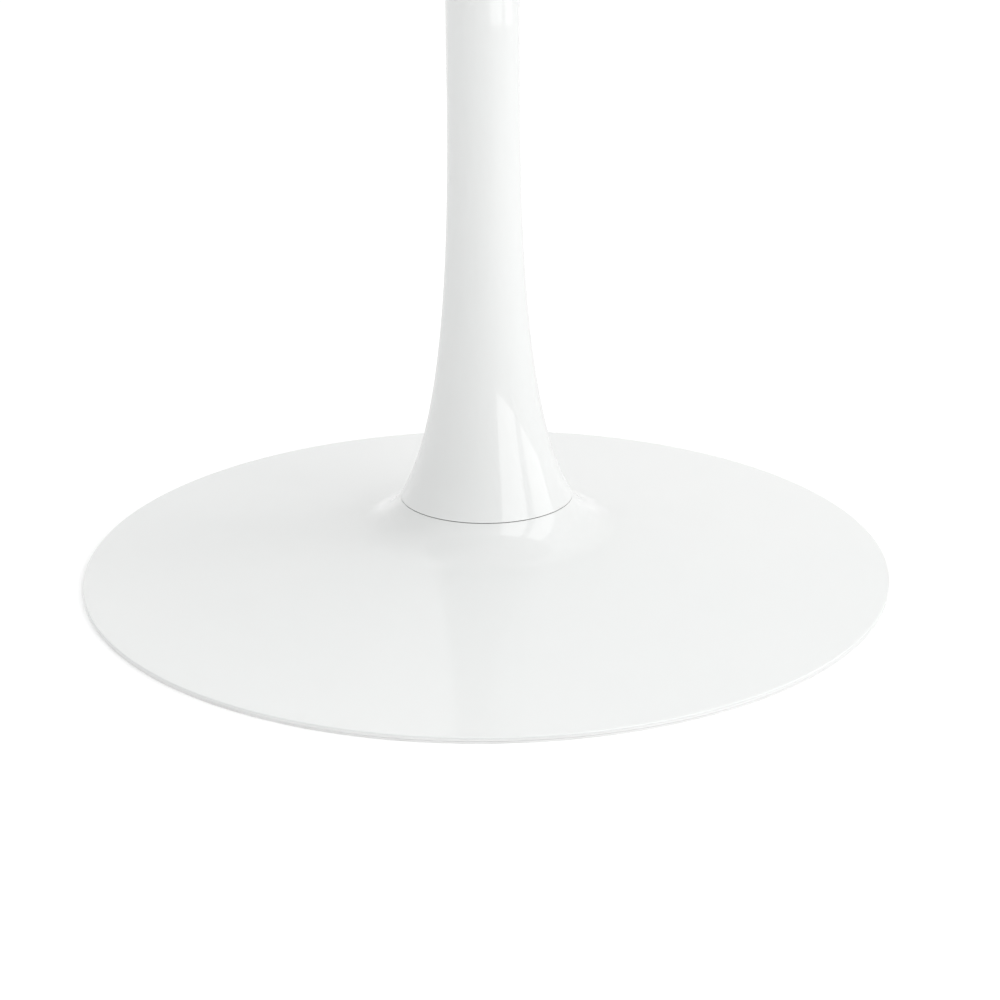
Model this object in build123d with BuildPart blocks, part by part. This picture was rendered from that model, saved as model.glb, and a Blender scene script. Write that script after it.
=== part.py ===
from build123d import *
from math import atan2, cos, degrees, radians, sin, sqrt
import os

os.makedirs("parts", exist_ok=True)

# Round pedestal table. Millimetres, +Z up, floor at z = 0, the column's axis is Z.

# Overall sizes
base_radius = 300.0  # round base, out to its rim
table_height = 740.0  # floor to table surface
top_radius = 450.0
top_thickness = 22.0

# Base: floor ring, bottom plate and pressed cover
floor_ring_height = 1.5
floor_ring_width = 9.0
rim_step = 0.25  # how far each layer of the rim stands in from the one above
bottom_plate_thickness = 1.6
plate_edge_round = 0.2
cover_sheet = 1.3
rim_round = 1.0  # rounded outer edge of the cover
seam_radius = 65.0  # hub top and column foot
hub_top = 47.3  # height of the hub's flat top
hub_fillet = 47.8  # concave sweep from hub down to disc
seam_angle = 58.8  # slope where column meets hub, degrees from level
foot_slope = 7.6  # slope of the disc where the sweep ends, degrees

# Column
gasket_thickness = 0.5
gasket_inset = 0.5
neck_radius = 25.5
neck_height = 345.0  # where the lower flare has run out
lower_reach_foot = 53.0  # how long the flare keeps the seam's slope
lower_reach_neck = 152.7  # how long it keeps to the upright
upper_neck_length = 85.0  # straight part of the neck
mouth_radius = 72.0  # column top, under the plate
mouth_angle = 56.0  # slope there, degrees from level
upper_reach_mouth = 50.0
upper_reach_share = 0.5  # share of the upper flare's height that stays near the upright
column_wall = 3.6
socket_wall = 15.0  # thick ring round each socket of the column
socket_depth = 16.0

# Spigots, rod and hub casting
slip = 0.2  # clearance of every part that slides into another
spigot_wall = 5.8
spigot_height = 13.0
shoulder_width = 8.0
web_thickness = 6.0
web_height = 20.5  # web's underside over the bottom plate
cavity_step = 10.0  # hub cavity is smaller than the spigot's outside by this
flange_width = 27.0  # flange's edge out from the column's foot
flange_thickness = 6.0
rib_count = 6
rib_thickness = 5.0
rib_drop = 6.0  # ribs stop this far under the cover's lip
rod_radius = 6.0
rod_clearance = 1.0
rod_tail = 3.0  # thread showing past each nut
washer_radius = 18.0
washer_thickness = 2.5
spring_washer_radius = 10.5
spring_washer_thickness = 2.5
spring_washer_slot = 2.0
nut_across_flats = 19.0
nut_height = 10.0
socket_depth_top = 20.0

# Ballast
ballast_clear = 5.0  # gap between hub flange and ballast
ballast_edge_share = 0.15  # share of the base's radius left free at the rim
ballast_gap = 1.5  # air between ballast and cover

# Top plate and its fasteners
plate_radius = 180.0
plate_thickness = 4.0
access_step = 5.0  # access hole is smaller than the socket's inside by this
plate_edge = 30.0  # plate's edge to the screw circle
plate_screw_count = 8
screw_radius = 3.0
screw_clearance = 0.4
screw_head_radius = 5.6
screw_head_height = 3.6
screw_length = 14.0
screw_washer_radius = 7.0
screw_washer_thickness = 1.0
insert_radius = 4.8
insert_length = 13.0
insert_slip = 0.1
drive_across_flats = 4.0
drive_depth = 2.0

# Countersunk screws under the base
sunk_head_radius = 6.0
sunk_head_height = 3.0
sunk_length = 8.0
sunk_slip = 0.1
hub_screw_inset = 8.0
hub_screw_count = 6
ballast_screw_offset = 33.0  # ballast's inner edge to its screw circle
ballast_screw_count = 6

# Tabletop edge
edge_height = 9.0  # upright part of the tabletop's edge
bevel_width = 45.0  # underside bevel
edge_round = 2.0

# Service cap
cap_skirt_wall = 2.6
cap_skirt_height = 5.0

# Levels that follow from the sizes
plate_top = floor_ring_height + bottom_plate_thickness
column_foot = hub_top + gasket_thickness
top_underside = table_height - top_thickness
plate_under = top_underside - plate_thickness
column_top = plate_under - gasket_thickness
socket_radius = seam_radius - socket_wall
top_socket_radius = mouth_radius - socket_wall - 6.0
web_under = plate_top + web_height
lip_under = hub_top - cover_sheet
spigot_radius = socket_radius - slip
top_spigot_radius = top_socket_radius - slip
cavity_radius = spigot_radius - cavity_step
opening_radius = cavity_radius + 4.0
top_web_under = plate_under - socket_depth_top
rod_foot = web_under - washer_thickness - spring_washer_thickness - nut_height - rod_tail
rod_head = top_web_under + web_thickness + washer_thickness + nut_height + 1.0
screw_circle = plate_radius - plate_edge
flange_radius = seam_radius + flange_width
hub_screw_circle = flange_radius - hub_screw_inset
ballast_inner = flange_radius + ballast_clear
ballast_screw_circle = ballast_inner + ballast_screw_offset
rib_top = lip_under - rib_drop
access_radius = top_spigot_radius - spigot_wall - access_step
upper_neck_end = neck_height + upper_neck_length
upper_reach_neck = upper_reach_share * (column_top - upper_neck_end)

# Points of the base cover's section: radius, height
seam_run = cos(radians(seam_angle))
seam_rise = sin(radians(seam_angle))
foot_run = cos(radians(foot_slope))
foot_rise = sin(radians(foot_slope))
sweep_centre = (seam_radius + hub_fillet * seam_rise, hub_top + hub_fillet * seam_run)
foot_out = (sweep_centre[0] - hub_fillet * foot_rise, sweep_centre[1] - hub_fillet * foot_run)
sweep_in = hub_fillet + cover_sheet
foot_in = (sweep_centre[0] - sweep_in * foot_rise, sweep_centre[1] - sweep_in * foot_run)
rim_start = (base_radius - rim_round, plate_top + cover_sheet)
chord_slope = atan2(foot_out[1] - rim_start[1], rim_start[0] - foot_out[0])
rim_slope = 2.0 * chord_slope - radians(foot_slope)
rim_in = (rim_start[0] - cover_sheet * sin(rim_slope), rim_start[1] - cover_sheet * cos(rim_slope))
lip_drop = sweep_centre[1] - lip_under
lip_in = (sweep_centre[0] - sqrt(sweep_in**2 - lip_drop**2), lip_under)
mid_angle = radians((seam_angle + foot_slope) / 2.0)
sweep_mid_in = (sweep_centre[0] - sweep_in * sin(mid_angle), sweep_centre[1] - sweep_in * cos(mid_angle))

# Pressed steel cover: disc, swept hub and a turned-in lip at the hub's top
with BuildPart() as base_cover:
    with BuildSketch(Plane.XZ):
        with BuildLine():
            Line((socket_radius, hub_top), (seam_radius, hub_top))
            JernArc((seam_radius, hub_top), (seam_run, -seam_rise), hub_fillet, seam_angle - foot_slope)
            TangentArc(foot_out, rim_start, tangent=(foot_run, -foot_rise))
            TangentArc(
                rim_start,
                (base_radius, plate_top + cover_sheet - rim_round),
                tangent=(cos(rim_slope), -sin(rim_slope)),
            )
            Polyline(
                (base_radius, plate_top + cover_sheet - rim_round),
                (base_radius, plate_top),
                (socket_radius, plate_top),
                (socket_radius, hub_top),
            )
        make_face()
        with BuildLine():
            Line((socket_radius - 2.0, lip_under), lip_in)
            ThreePointArc(lip_in, sweep_mid_in, foot_in)
            TangentArc(foot_in, rim_in, tangent=(foot_run, -foot_rise))
            Polyline(
                rim_in,
                (rim_in[0], plate_top - 1.0),
                (socket_radius - 2.0, plate_top - 1.0),
                (socket_radius - 2.0, lip_under),
            )
        make_face(mode=Mode.SUBTRACT)
    revolve(axis=Axis.Z)

# Flat steel plate that closes the base
with BuildPart() as bottom_plate:
    with Locations((0, 0, floor_ring_height)):
        Cylinder(
            base_radius - rim_step / 2.0,
            bottom_plate_thickness,
            align=(Align.CENTER, Align.CENTER, Align.MIN),
        )
    chamfer(bottom_plate.edges().filter_by(GeomType.CIRCLE), plate_edge_round)
    with Locations((0, 0, floor_ring_height)):
        Cylinder(
            opening_radius,
            bottom_plate_thickness,
            align=(Align.CENTER, Align.CENTER, Align.MIN),
            mode=Mode.SUBTRACT,
        )
    with Locations((0, 0, floor_ring_height)):
        with PolarLocations(hub_screw_circle, hub_screw_count):
            Cone(
                sunk_head_radius,
                screw_radius,
                sunk_head_height,
                align=(Align.CENTER, Align.CENTER, Align.MIN),
                mode=Mode.SUBTRACT,
            )
        with PolarLocations(ballast_screw_circle, ballast_screw_count, start_angle=30):
            Cone(
                sunk_head_radius,
                screw_radius,
                sunk_head_height,
                align=(Align.CENTER, Align.CENTER, Align.MIN),
                mode=Mode.SUBTRACT,
            )

# Plastic ring that the whole table stands on, stepped in under the plate
with BuildPart() as floor_ring:
    with BuildSketch(Plane.XZ):
        with BuildLine():
            Polyline(
                (base_radius - floor_ring_width, 0),
                (base_radius - 2.0 * rim_step, 0),
                (base_radius - rim_step, rim_step),
                (base_radius - rim_step, floor_ring_height - rim_step),
                (base_radius - 3.0 * rim_step, floor_ring_height - rim_step),
                (base_radius - 3.0 * rim_step, floor_ring_height),
                (base_radius - floor_ring_width, floor_ring_height),
                close=True,
            )
        make_face()
    revolve(axis=Axis.Z)

# Cast hub under the cover: flange, wall, web for the rod and spigot for the column
with BuildPart() as hub_casting:
    with BuildSketch(Plane.XZ):
        with BuildLine():
            Polyline(
                (cavity_radius, plate_top),
                (flange_radius, plate_top),
                (flange_radius, plate_top + flange_thickness),
                (spigot_radius + shoulder_width, plate_top + flange_thickness),
                (spigot_radius + shoulder_width, lip_under),
                (spigot_radius, lip_under),
                (spigot_radius, lip_under + spigot_height),
                (spigot_radius - spigot_wall, lip_under + spigot_height),
                (spigot_radius - spigot_wall, web_under + web_thickness),
                (rod_radius + rod_clearance, web_under + web_thickness),
                (rod_radius + rod_clearance, web_under),
                (cavity_radius, web_under),
                close=True,
            )
        make_face()
    revolve(axis=Axis.Z)
    chamfer(
        hub_casting.edges().filter_by(GeomType.CIRCLE).group_by(Axis.Z)[-1].sort_by(SortBy.RADIUS)[-1],
        1.0,
    )
    with PolarLocations(0, rib_count, start_angle=30):
        with BuildSketch(Plane.XZ):
            with BuildLine():
                Polyline(
                    (spigot_radius + shoulder_width - 1.0, plate_top + flange_thickness - 1.0),
                    (flange_radius - 2.0, plate_top + flange_thickness - 1.0),
                    (flange_radius - 2.0, plate_top + flange_thickness + 1.0),
                    (spigot_radius + shoulder_width - 1.0, rib_top),
                    close=True,
                )
            make_face()
        extrude(amount=rib_thickness / 2.0, both=True)
    with Locations((0, 0, floor_ring_height)):
        with PolarLocations(hub_screw_circle, hub_screw_count):
            Cone(
                sunk_head_radius,
                screw_radius,
                sunk_head_height,
                align=(Align.CENTER, Align.CENTER, Align.MIN),
                mode=Mode.SUBTRACT,
            )
            Cylinder(
                screw_radius + sunk_slip,
                flange_thickness + plate_top,
                align=(Align.CENTER, Align.CENTER, Align.MIN),
                mode=Mode.SUBTRACT,
            )

# Cast-iron ring that keeps the table from tipping; its top follows the cover
ballast_outer = base_radius * (1.0 - ballast_edge_share)
ballast_drop = cover_sheet + ballast_gap
ballast_foot = (foot_out[0] - ballast_drop * foot_rise, foot_out[1] - ballast_drop * foot_run)
ballast_rim = (
    rim_start[0] - ballast_drop * sin(rim_slope),
    rim_start[1] - ballast_drop * cos(rim_slope),
)
with BuildPart() as ballast_ring:
    with BuildSketch(Plane.XZ):
        with BuildLine():
            Line((seam_radius, ballast_foot[1]), ballast_foot)
            TangentArc(ballast_foot, ballast_rim, tangent=(foot_run, -foot_rise))
            Polyline(
                ballast_rim,
                (ballast_rim[0], 0),
                (seam_radius, 0),
                (seam_radius, ballast_foot[1]),
            )
        make_face()
        with Locations((ballast_inner, plate_top)):
            Rectangle(
                ballast_outer - ballast_inner,
                hub_top,
                align=(Align.MIN, Align.MIN),
                mode=Mode.INTERSECT,
            )
    revolve(axis=Axis.Z)
    with Locations((0, 0, floor_ring_height)):
        with PolarLocations(ballast_screw_circle, ballast_screw_count, start_angle=30):
            Cone(
                sunk_head_radius,
                screw_radius,
                sunk_head_height,
                align=(Align.CENTER, Align.CENTER, Align.MIN),
                mode=Mode.SUBTRACT,
            )
            Cylinder(
                screw_radius + sunk_slip,
                sunk_length + 1.0,
                align=(Align.CENTER, Align.CENTER, Align.MIN),
                mode=Mode.SUBTRACT,
            )

# Countersunk screws through the bottom plate into the hub casting
with BuildPart() as hub_screws:
    with Locations((0, 0, floor_ring_height)):
        with PolarLocations(hub_screw_circle, hub_screw_count):
            Cone(
                sunk_head_radius,
                screw_radius,
                sunk_head_height,
                align=(Align.CENTER, Align.CENTER, Align.MIN),
            )
            Cylinder(
                screw_radius,
                sunk_length - 1.0,
                align=(Align.CENTER, Align.CENTER, Align.MIN),
            )
    with BuildSketch(Plane.XY.offset(floor_ring_height)):
        with PolarLocations(hub_screw_circle, hub_screw_count):
            RegularPolygon(drive_across_flats / 2.0, 6, major_radius=False)
    extrude(amount=drive_depth, mode=Mode.SUBTRACT)

# Countersunk screws through the bottom plate into the ballast
with BuildPart() as ballast_screws:
    with Locations((0, 0, floor_ring_height)):
        with PolarLocations(ballast_screw_circle, ballast_screw_count, start_angle=30):
            Cone(
                sunk_head_radius,
                screw_radius,
                sunk_head_height,
                align=(Align.CENTER, Align.CENTER, Align.MIN),
            )
            Cylinder(
                screw_radius,
                sunk_length,
                align=(Align.CENTER, Align.CENTER, Align.MIN),
            )
    with BuildSketch(Plane.XY.offset(floor_ring_height)):
        with PolarLocations(ballast_screw_circle, ballast_screw_count, start_angle=30):
            RegularPolygon(drive_across_flats / 2.0, 6, major_radius=False)
    extrude(amount=drive_depth, mode=Mode.SUBTRACT)

# Plastic cap that closes the opening under the rod's nut
with BuildPart() as service_cap:
    with BuildSketch(Plane.XZ):
        with BuildLine():
            Polyline(
                (0, floor_ring_height),
                (opening_radius - slip, floor_ring_height),
                (opening_radius - slip, plate_top),
                (cavity_radius - slip, plate_top),
                (cavity_radius - slip, plate_top + cap_skirt_height),
                (cavity_radius - slip - cap_skirt_wall, plate_top + cap_skirt_height),
                (cavity_radius - slip - cap_skirt_wall, plate_top),
                (0, plate_top),
                close=True,
            )
        make_face()
    revolve(axis=Axis.Z)

# Thin dark gasket in the seam between hub and column
with BuildPart() as seam_gasket:
    with BuildSketch(Plane.XY.offset(hub_top)):
        Circle(seam_radius - gasket_inset)
        Circle(socket_radius, mode=Mode.SUBTRACT)
    extrude(amount=gasket_thickness)

# Column: one cast trumpet, flared at both ends, with a socket at each end
with BuildPart() as column_shell:
    with BuildSketch(Plane.XZ):
        with BuildLine():
            Line((0, column_foot), (seam_radius, column_foot))
            Bezier(
                (seam_radius, column_foot),
                (
                    seam_radius - lower_reach_foot * seam_run,
                    column_foot + lower_reach_foot * seam_rise,
                ),
                (neck_radius, neck_height - lower_reach_neck),
                (neck_radius, neck_height),
            )
            Line((neck_radius, neck_height), (neck_radius, upper_neck_end))
            Bezier(
                (neck_radius, upper_neck_end),
                (neck_radius, upper_neck_end + upper_reach_neck),
                (
                    mouth_radius - upper_reach_mouth * cos(radians(mouth_angle)),
                    column_top - upper_reach_mouth * sin(radians(mouth_angle)),
                ),
                (mouth_radius, column_top),
            )
            Polyline((mouth_radius, column_top), (0, column_top), (0, column_foot))
        make_face()
        with BuildLine():
            Polyline(
                (0, column_foot),
                (socket_radius, column_foot),
                (socket_radius, column_foot + socket_depth),
            )
            Bezier(
                (socket_radius, column_foot + socket_depth),
                (
                    socket_radius - 0.75 * lower_reach_foot * seam_run,
                    column_foot + socket_depth + 0.75 * lower_reach_foot * seam_rise,
                ),
                (neck_radius - column_wall, neck_height - lower_reach_neck),
                (neck_radius - column_wall, neck_height),
            )
            Line(
                (neck_radius - column_wall, neck_height),
                (neck_radius - column_wall, upper_neck_end),
            )
            Bezier(
                (neck_radius - column_wall, upper_neck_end),
                (neck_radius - column_wall, upper_neck_end + upper_reach_neck),
                (
                    top_socket_radius - 0.75 * upper_reach_mouth * cos(radians(mouth_angle)),
                    column_top - socket_depth_top - 0.75 * upper_reach_mouth * sin(radians(mouth_angle)),
                ),
                (top_socket_radius, column_top - socket_depth_top),
            )
            Polyline(
                (top_socket_radius, column_top - socket_depth_top),
                (top_socket_radius, column_top),
                (0, column_top),
                (0, column_foot),
            )
        make_face(mode=Mode.SUBTRACT)
    revolve(axis=Axis.Z)

# Long rod that clamps base, column and top plate together
with BuildPart() as tie_rod:
    with Locations((0, 0, rod_foot)):
        Cylinder(
            rod_radius,
            rod_head - rod_foot,
            align=(Align.CENTER, Align.CENTER, Align.MIN),
        )
    chamfer(tie_rod.edges().filter_by(GeomType.CIRCLE), 1.0)

# Broad washer under the hub casting's web
with BuildPart() as rod_bottom_washer:
    with BuildSketch(Plane.XY.offset(web_under - washer_thickness)):
        Circle(washer_radius)
        Circle(rod_radius + slip, mode=Mode.SUBTRACT)
    extrude(amount=washer_thickness)

# Spring washer between broad washer and nut
with BuildPart() as rod_spring_washer:
    with BuildSketch(Plane.XY.offset(web_under - washer_thickness - spring_washer_thickness)):
        Circle(spring_washer_radius)
        Circle(rod_radius + slip, mode=Mode.SUBTRACT)
        with Locations((spring_washer_radius, 0)):
            Rectangle(spring_washer_radius, spring_washer_slot, mode=Mode.SUBTRACT)
    extrude(amount=spring_washer_thickness)

# Nut that is tightened from under the base
with BuildPart() as rod_bottom_nut:
    with BuildSketch(
        Plane.XY.offset(web_under - washer_thickness - spring_washer_thickness - nut_height)
    ):
        RegularPolygon(nut_across_flats / 2.0, 6, major_radius=False)
        Circle(rod_radius, mode=Mode.SUBTRACT)
    extrude(amount=nut_height)

# Turned socket welded under the top plate, with a web that the rod pulls on
with BuildPart() as top_socket:
    with BuildSketch(Plane.XZ):
        with BuildLine():
            Polyline(
                (rod_radius + rod_clearance, top_web_under),
                (top_spigot_radius - 1.5, top_web_under),
                (top_spigot_radius, top_web_under + 1.5),
                (top_spigot_radius, plate_under),
                (top_spigot_radius - spigot_wall, plate_under),
                (top_spigot_radius - spigot_wall, top_web_under + web_thickness),
                (rod_radius + rod_clearance, top_web_under + web_thickness),
                close=True,
            )
        make_face()
    revolve(axis=Axis.Z)

# Washer on the top socket's web
with BuildPart() as rod_top_washer:
    with BuildSketch(Plane.XY.offset(top_web_under + web_thickness)):
        Circle(washer_radius)
        Circle(rod_radius + slip, mode=Mode.SUBTRACT)
    extrude(amount=washer_thickness)

# Nut at the rod's upper end
with BuildPart() as rod_top_nut:
    with BuildSketch(Plane.XY.offset(top_web_under + web_thickness + washer_thickness)):
        RegularPolygon(nut_across_flats / 2.0, 6, major_radius=False)
        Circle(rod_radius, mode=Mode.SUBTRACT)
    extrude(amount=nut_height)

# Thin gasket between the column's top and the plate
with BuildPart() as column_top_gasket:
    with BuildSketch(Plane.XY.offset(column_top)):
        Circle(mouth_radius - gasket_inset)
        Circle(top_socket_radius, mode=Mode.SUBTRACT)
    extrude(amount=gasket_thickness)

# Round steel plate that carries the tabletop
with BuildPart() as top_plate:
    with BuildSketch(Plane.XY.offset(plate_under)):
        Circle(plate_radius)
        Circle(access_radius, mode=Mode.SUBTRACT)
        with PolarLocations(screw_circle, plate_screw_count):
            Circle(screw_radius + screw_clearance, mode=Mode.SUBTRACT)
    extrude(amount=plate_thickness)
    chamfer(
        top_plate.edges().filter_by(GeomType.CIRCLE).group_by(SortBy.RADIUS)[-1],
        0.8,
    )

# Machine screws that hold the tabletop
with BuildPart() as top_plate_screws:
    with Locations((0, 0, plate_under - screw_washer_thickness)):
        with PolarLocations(screw_circle, plate_screw_count):
            Cylinder(
                screw_radius,
                screw_length,
                align=(Align.CENTER, Align.CENTER, Align.MIN),
            )
            Cylinder(
                screw_head_radius,
                screw_head_height,
                align=(Align.CENTER, Align.CENTER, Align.MAX),
            )
    fillet(
        top_plate_screws.edges().filter_by(GeomType.CIRCLE).group_by(Axis.Z)[0],
        1.4,
    )
    with BuildSketch(Plane.XY.offset(plate_under - screw_washer_thickness - screw_head_height)):
        with PolarLocations(screw_circle, plate_screw_count):
            RegularPolygon(drive_across_flats / 2.0, 6, major_radius=False)
    extrude(amount=drive_depth, mode=Mode.SUBTRACT)

# Washers under the heads of those screws
with BuildPart() as top_plate_washers:
    with BuildSketch(Plane.XY.offset(plate_under - screw_washer_thickness)):
        with PolarLocations(screw_circle, plate_screw_count):
            Circle(screw_washer_radius)
            Circle(screw_radius + screw_clearance, mode=Mode.SUBTRACT)
    extrude(amount=screw_washer_thickness)

# Brass inserts in the tabletop's underside
with BuildPart() as top_inserts:
    with BuildSketch(Plane.XY.offset(top_underside)):
        with PolarLocations(screw_circle, plate_screw_count):
            Circle(insert_radius)
            Circle(screw_radius + insert_slip, mode=Mode.SUBTRACT)
    extrude(amount=insert_length)

# Round lacquered top with a bevelled underside
with BuildPart() as tabletop:
    with BuildSketch(Plane.XZ):
        with BuildLine():
            Polyline(
                (0, top_underside),
                (top_radius - bevel_width, top_underside),
                (top_radius, table_height - edge_height),
                (top_radius, table_height),
                (0, table_height),
                close=True,
            )
        make_face()
    revolve(axis=Axis.Z)
    fillet(
        tabletop.edges().filter_by(GeomType.CIRCLE).group_by(SortBy.RADIUS)[-1],
        edge_round,
    )
    with Locations((0, 0, top_underside)):
        with PolarLocations(screw_circle, plate_screw_count):
            Cylinder(
                insert_radius,
                insert_length + 0.5,
                align=(Align.CENTER, Align.CENTER, Align.MIN),
                mode=Mode.SUBTRACT,
            )

tabletop.part.label = "tabletop"
export_step(tabletop.part, "parts/tabletop.step")
top_inserts.part.label = "top_inserts"
export_step(top_inserts.part, "parts/top_inserts.step")
top_plate.part.label = "top_plate"
export_step(top_plate.part, "parts/top_plate.step")
top_plate_screws.part.label = "top_plate_screws"
export_step(top_plate_screws.part, "parts/top_plate_screws.step")
top_plate_washers.part.label = "top_plate_washers"
export_step(top_plate_washers.part, "parts/top_plate_washers.step")
top_socket.part.label = "top_socket"
export_step(top_socket.part, "parts/top_socket.step")
column_top_gasket.part.label = "column_top_gasket"
export_step(column_top_gasket.part, "parts/column_top_gasket.step")
column_shell.part.label = "column_shell"
export_step(column_shell.part, "parts/column_shell.step")
tie_rod.part.label = "tie_rod"
export_step(tie_rod.part, "parts/tie_rod.step")
rod_top_washer.part.label = "rod_top_washer"
export_step(rod_top_washer.part, "parts/rod_top_washer.step")
rod_top_nut.part.label = "rod_top_nut"
export_step(rod_top_nut.part, "parts/rod_top_nut.step")
rod_bottom_washer.part.label = "rod_bottom_washer"
export_step(rod_bottom_washer.part, "parts/rod_bottom_washer.step")
rod_spring_washer.part.label = "rod_spring_washer"
export_step(rod_spring_washer.part, "parts/rod_spring_washer.step")
rod_bottom_nut.part.label = "rod_bottom_nut"
export_step(rod_bottom_nut.part, "parts/rod_bottom_nut.step")
seam_gasket.part.label = "seam_gasket"
export_step(seam_gasket.part, "parts/seam_gasket.step")
base_cover.part.label = "base_cover"
export_step(base_cover.part, "parts/base_cover.step")
hub_casting.part.label = "hub_casting"
export_step(hub_casting.part, "parts/hub_casting.step")
hub_screws.part.label = "hub_screws"
export_step(hub_screws.part, "parts/hub_screws.step")
ballast_ring.part.label = "ballast_ring"
export_step(ballast_ring.part, "parts/ballast_ring.step")
ballast_screws.part.label = "ballast_screws"
export_step(ballast_screws.part, "parts/ballast_screws.step")
bottom_plate.part.label = "bottom_plate"
export_step(bottom_plate.part, "parts/bottom_plate.step")
service_cap.part.label = "service_cap"
export_step(service_cap.part, "parts/service_cap.step")
floor_ring.part.label = "floor_ring"
export_step(floor_ring.part, "parts/floor_ring.step")
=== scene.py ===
"""Looks of a round pedestal table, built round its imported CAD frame. Everything is in metres."""

import logging
import math
from dataclasses import dataclass
from enum import Enum
from typing import Callable, Sequence

import bmesh
import bpy
from mathutils import Matrix, Vector


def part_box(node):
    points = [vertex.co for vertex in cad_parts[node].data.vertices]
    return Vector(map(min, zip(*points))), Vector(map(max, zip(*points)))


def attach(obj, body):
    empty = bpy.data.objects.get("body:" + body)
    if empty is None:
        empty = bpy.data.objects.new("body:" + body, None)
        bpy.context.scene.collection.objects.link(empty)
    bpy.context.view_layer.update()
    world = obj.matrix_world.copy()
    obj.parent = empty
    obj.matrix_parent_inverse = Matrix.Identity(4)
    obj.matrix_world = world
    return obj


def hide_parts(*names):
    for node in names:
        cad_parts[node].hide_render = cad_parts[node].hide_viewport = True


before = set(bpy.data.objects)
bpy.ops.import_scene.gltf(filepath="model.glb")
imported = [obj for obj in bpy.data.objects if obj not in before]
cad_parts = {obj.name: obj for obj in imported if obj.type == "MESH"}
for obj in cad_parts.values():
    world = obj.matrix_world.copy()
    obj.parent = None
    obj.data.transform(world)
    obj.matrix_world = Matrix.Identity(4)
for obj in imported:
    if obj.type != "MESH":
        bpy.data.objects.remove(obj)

LOG = logging.getLogger("table")
MM = 0.001
BODY = "root"
SCREW_RADIUS = 3.0 * MM
SCREW_RIDGE = 0.5 * MM
SCREW_PITCH = 1.0 * MM
SCREW_STEP = 0.125 * MM
HEX_DRIVE = 4.0 * MM
HEX_DEPTH = 2.0 * MM
SEAM_EDGE = 0.18 * MM

Point = tuple[float, float]
Corner = tuple[float, float, float]
Shape = tuple[list, list]
Colour = tuple[float, float, float, float]
Reach = Callable[[float, float, float], float]


# ---------------------------------------------------------------- shader sheets


class Val:
    """One shader value that Python's operators turn into Math nodes."""

    def __init__(self, sheet: "Sheet", socket: bpy.types.NodeSocket) -> None:
        """Wraps one output socket of a sheet."""
        self.sheet = sheet
        self.socket = socket

    def _do(self, operation: str, *values: "Val | float") -> "Val":
        """Adds one Math node.

        Args:
            operation: The Math node's operation.
            values: Its inputs in order, as values or numbers.

        Returns:
            The node's result.
        """
        inputs = dict(enumerate(values))
        return self.sheet.node("ShaderNodeMath", {"operation": operation}, inputs)[0]

    def __add__(self, other: "Val | float") -> "Val":
        """Sum."""
        return self._do("ADD", self, other)

    __radd__ = __add__

    def __sub__(self, other: "Val | float") -> "Val":
        """Difference."""
        return self._do("SUBTRACT", self, other)

    def __rsub__(self, other: float) -> "Val":
        """Difference from a number."""
        return self._do("SUBTRACT", other, self)

    def __mul__(self, other: "Val | float") -> "Val":
        """Product."""
        return self._do("MULTIPLY", self, other)

    __rmul__ = __mul__

    def high(self, other: "Val | float") -> "Val":
        """The greater of two."""
        return self._do("MAXIMUM", self, other)

    def root(self) -> "Val":
        """Square root."""
        return self._do("SQRT", self)

    def ramp(self, start: float, end: float) -> "Val":
        """Smooth step from 0 at start to 1 at end; start may be the greater.

        Args:
            start: Value that gives 0.
            end: Value that gives 1.

        Returns:
            The step.
        """
        low, high, first, last = (start, end, 0.0, 1.0) if start < end else (end, start, 1.0, 0.0)
        inputs = {"Value": self, "From Min": low, "From Max": high, "To Min": first, "To Max": last}
        return self.sheet.node("ShaderNodeMapRange", {"interpolation_type": "SMOOTHSTEP"}, inputs)[0]


class Outs:
    """The outputs of one node, by number or name."""

    def __init__(self, sheet: "Sheet", node: bpy.types.Node) -> None:
        """Wraps a node of a sheet."""
        self.sheet = sheet
        self.made = node

    def __getitem__(self, key: "int | str") -> Val:
        """One output as a value."""
        return Val(self.sheet, self.made.outputs[key])


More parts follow.
